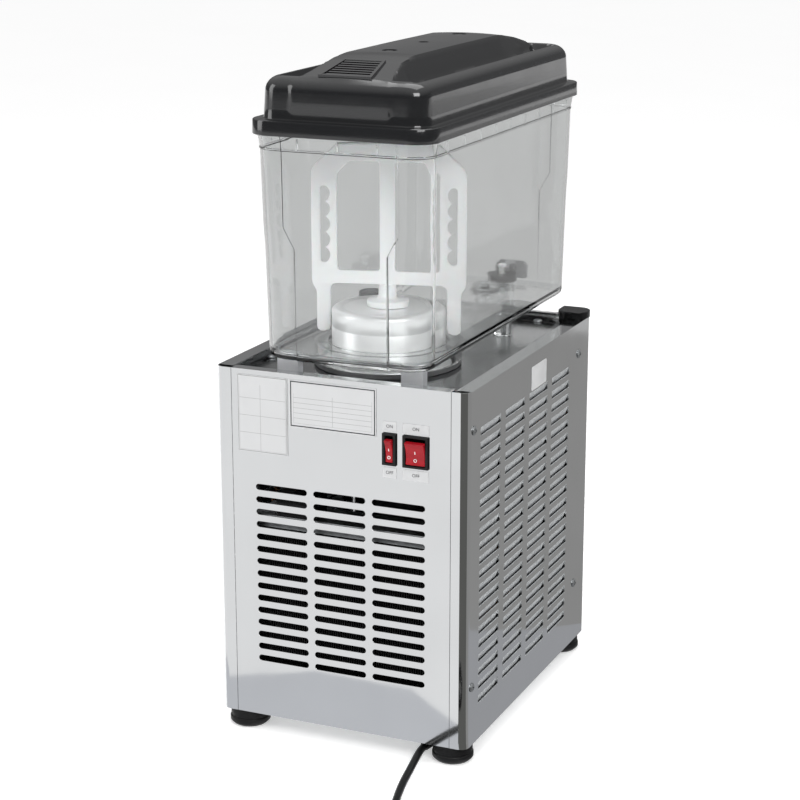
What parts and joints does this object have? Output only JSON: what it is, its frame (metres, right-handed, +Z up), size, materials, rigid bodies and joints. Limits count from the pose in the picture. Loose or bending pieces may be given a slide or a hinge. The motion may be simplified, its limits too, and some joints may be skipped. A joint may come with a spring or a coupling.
{
  "type": "countertop cold drink dispenser",
  "caption": "Countertop cold drink dispenser: a clear bowl with a stirring paddle and dark lid on a polished steel cooling cabinet, with tap, drip tray and rocker switches.",
  "frame": {"origin": "on the supporting surface, under the middle of the machine without its cord", "axes": "+Z up; -Y is the front with the tap and the drip tray; +Y is the rear with the switches"},
  "size_m": [0.3604, 0.7356, 0.6595],
  "materials": {
    "polished_steel": "mirror-polished stainless steel",
    "galvanised": "galvanised sheet, dull",
    "black_plastic": "moulded black, satin",
    "lid_plastic": "moulded charcoal, gloss",
    "clear_plastic": "clear moulded polycarbonate",
    "white_plastic": "milky white, satin",
    "black_rubber": "matt",
    "red_plastic": "translucent red, gloss",
    "painted_black": "black paint, semi-matt",
    "copper": "bare copper",
    "label_film": "printed film"
  },
  "bodies": {
    "cabinet": {"side_panel_left": "polished_steel", "side_panel_right": "polished_steel", "rear_panel": "polished_steel", "front_panel": "polished_steel", "deck": "polished_steel", "evaporator_drum": "polished_steel", "tray_shelf": "polished_steel", "panel_screw_left_1": "polished_steel", "panel_screw_left_2": "polished_steel", "panel_screw_left_3": "polished_steel", "panel_screw_left_4": "polished_steel", "panel_screw_right_1": "polished_steel", "panel_screw_right_2": "polished_steel", "panel_screw_right_3": "polished_steel", "panel_screw_right_4": "polished_steel", "base_pan": "galvanised", "fan_shroud": "galvanised", "corner_cap_left": "black_plastic", "corner_cap_right": "black_plastic", "stirring_switch_housing": "black_plastic", "cooling_switch_housing": "black_plastic", "thermostat": "black_plastic", "cord_relief": "black_plastic", "foot_rear_left": "black_rubber", "foot_rear_right": "black_rubber", "foot_front_left": "black_rubber", "foot_front_right": "black_rubber", "bowl_seal": "black_rubber", "cord_run": "black_rubber", "cord_coil": "black_rubber", "cord_tie": "black_rubber", "power_plug": "black_rubber", "condenser": "painted_black", "fan_motor": "painted_black", "stirring_motor": "painted_black", "compressor": "painted_black", "evaporator_coil": "copper", "discharge_pipe": "copper", "suction_pipe": "copper", "liquid_pipe": "copper", "rating_plate": "label_film", "wiring_plate": "label_film"},
    "bowl": {"bowl": "clear_plastic", "tap_body": "clear_plastic", "tap_nut": "clear_plastic", "tap_washer": "black_rubber", "tap_cap": "black_plastic", "lever_pin": "polished_steel", "tap_spring": "polished_steel"},
    "lid": {"lid": "lid_plastic", "vent_grille": "lid_plastic"},
    "paddle": {"stirring_paddle": "white_plastic"},
    "magnet": {"drive_magnet": "galvanised"},
    "fan": {"fan": "galvanised"},
    "tap_lever": {"tap_lever": "black_plastic"},
    "tap_piston": {"tap_piston": "white_plastic"},
    "stirring_key": {"stirring_switch_key": "red_plastic"},
    "cooling_key": {"cooling_switch_key": "red_plastic"},
    "tray": {"drip_tray": "black_plastic"},
    "grid": {"drip_grid": "polished_steel"}
  },
  "joints": [
    {"name": "bowl_lift", "type": "slide", "parent": "cabinet", "child": "bowl", "axis": [0, 0, 1], "range_m": [0, 0.12]},
    {"name": "lid_lift", "type": "slide", "parent": "bowl", "child": "lid", "axis": [0, 0, 1], "range_m": [0, 0.08]},
    {"name": "magnet_turn", "type": "hinge", "parent": "cabinet", "child": "magnet", "pos_m": [0, 0.10878, 0.404], "axis": [0, 0, 1], "continuous": true},
    {"name": "paddle_turn", "type": "hinge", "parent": "bowl", "child": "paddle", "pos_m": [0, 0.10878, 0.42], "axis": [0, 0, 1], "continuous": true},
    {"name": "fan_turn", "type": "hinge", "parent": "cabinet", "child": "fan", "pos_m": [0, 0.15228, 0.11375], "axis": [0, 1, 0], "continuous": true},
    {"name": "tap_lever_push", "type": "hinge", "parent": "bowl", "child": "tap_lever", "pos_m": [0, -0.20722, 0.3933], "axis": [1, 0, 0], "range_deg": [0, 24], "stiffness_Nm_per_rad": 0.2, "springref_deg": -11.46},
    {"name": "tap_piston_lift", "type": "slide", "parent": "bowl", "child": "tap_piston", "axis": [0, 0, 1], "range_m": [0, 0.0055], "deforming": ["tap_spring"]},
    {"name": "stirring_key_tilt", "type": "hinge", "parent": "cabinet", "child": "stirring_key", "pos_m": [-0.0516, 0.21808, 0.3069], "axis": [1, 0, 0], "range_deg": [0, 22]},
    {"name": "cooling_key_tilt", "type": "hinge", "parent": "cabinet", "child": "cooling_key", "pos_m": [-0.078, 0.21808, 0.3069], "axis": [1, 0, 0], "range_deg": [0, 22]},
    {"name": "tray_pull", "type": "slide", "parent": "cabinet", "child": "tray", "axis": [0, -1, 0], "range_m": [0, 0.08]},
    {"name": "grid_lift", "type": "slide", "parent": "tray", "child": "grid", "axis": [0, 0, 1], "range_m": [0, 0.04]}
  ],
  "couplings": [
    {"joint": "paddle_turn", "follows": "magnet_turn", "ratio": 1},
    {"joint": "tap_piston_lift", "follows": "tap_lever_push", "m_per_rad": 0.0125}
  ]
}
